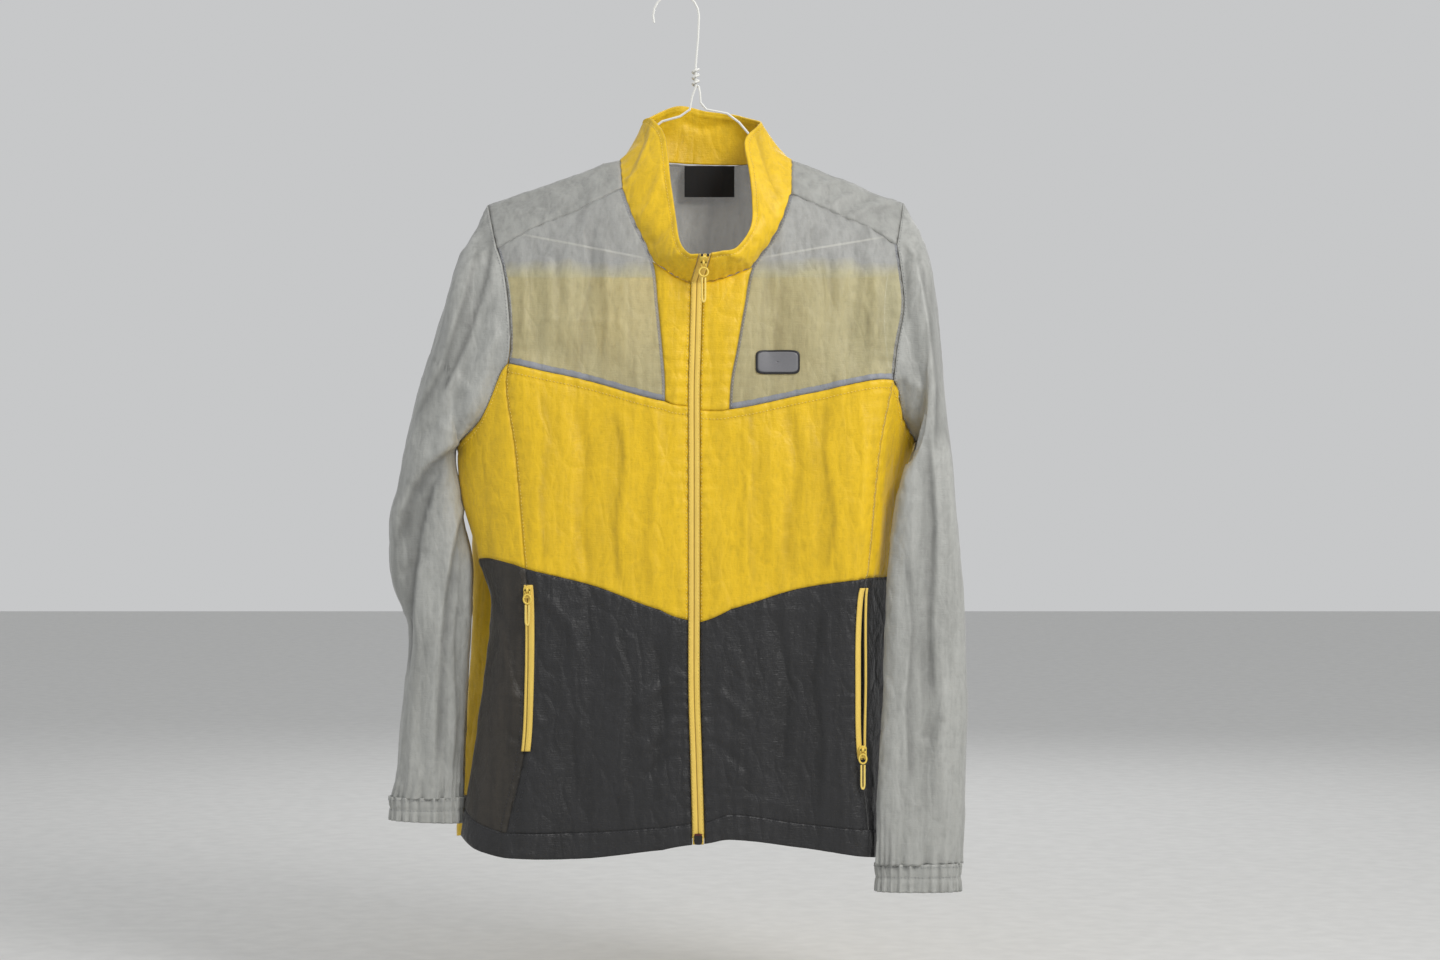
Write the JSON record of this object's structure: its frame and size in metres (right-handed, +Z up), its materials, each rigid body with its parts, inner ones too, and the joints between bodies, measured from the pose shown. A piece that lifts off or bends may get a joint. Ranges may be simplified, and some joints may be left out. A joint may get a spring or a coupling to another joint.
{
  "type": "windbreaker jacket on a wire hanger",
  "caption": "Lightweight zipped windbreaker with stand collar, colour-blocked panels, zipped side pockets and gathered cuffs, hanging on a wire hanger.",
  "frame": {"origin": "top inside of the hanger's hook, where it rests on a rail", "axes": "+X to the wearer's left, +Y towards the back, +Z up"},
  "size_m": [0.5777, 0.1517, 0.9034],
  "materials": {
    "nylon_grey": "matt, finely crinkled, semi-translucent",
    "nylon_yellow": "matt, finely crinkled",
    "nylon_charcoal": "matt, finely crinkled",
    "zip_tape": "woven tape",
    "zip_hardware": "satin black",
    "pull_cord": "braided cord",
    "label": "woven, blank",
    "badge": "matt, blank",
    "hanger_wire": "white coated wire"
  },
  "bodies": {
    "jacket": {"chest_left": "nylon_grey", "chest_right": "nylon_grey", "yoke": "nylon_grey", "sleeve_left": "nylon_grey", "sleeve_right": "nylon_grey", "cuff_left": "nylon_grey", "cuff_right": "nylon_grey", "wedge_left": "nylon_yellow", "wedge_right": "nylon_yellow", "mid_front_left": "nylon_yellow", "mid_front_right": "nylon_yellow", "mid_side_left": "nylon_yellow", "mid_side_right": "nylon_yellow", "hem_back": "nylon_yellow", "back": "nylon_yellow", "collar": "nylon_yellow", "lower_front_left": "nylon_charcoal", "lower_front_right": "nylon_charcoal", "lower_side_left": "nylon_charcoal", "lower_side_right": "nylon_charcoal", "hem_left": "nylon_charcoal", "hem_right": "nylon_charcoal", "zip_tape_left": "zip_tape", "zip_tape_right": "zip_tape", "pocket_tape_a_left": "zip_tape", "pocket_tape_b_left": "zip_tape", "pocket_tape_a_right": "zip_tape", "pocket_tape_b_right": "zip_tape", "zip_slider": "zip_hardware", "zip_crown": "zip_hardware", "pocket_left_slider": "zip_hardware", "pocket_left_crown": "zip_hardware", "pocket_right_slider": "zip_hardware", "pocket_right_crown": "zip_hardware", "zip_box": "zip_hardware", "neck_label": "label", "pocket_bag_left": "label", "badge": "badge", "hanger": "hanger_wire"},
    "main_tab": {"zip_pull": "zip_hardware", "zip_cord": "pull_cord"},
    "left_pocket_tab": {"pocket_left_pull": "zip_hardware", "pocket_left_cord": "pull_cord"},
    "right_pocket_tab": {"pocket_right_pull": "zip_hardware", "pocket_right_cord": "pull_cord"}
  },
  "joints": [
    {"name": "main_tab_swing", "type": "hinge", "parent": "jacket", "child": "main_tab", "pos_m": [0.0286, -0.08919, -0.27887], "axis": [-1, 0, 0], "range_deg": [0, 100]},
    {"name": "left_pocket_tab_swing", "type": "hinge", "parent": "jacket", "child": "left_pocket_tab", "pos_m": [0.186, -0.07875, -0.76], "axis": [-1, 0, 0], "range_deg": [0, 150]},
    {"name": "right_pocket_tab_swing", "type": "hinge", "parent": "jacket", "child": "right_pocket_tab", "pos_m": [-0.146, -0.07778, -0.602], "axis": [-1, 0, 0], "range_deg": [0, 150]}
  ]
}
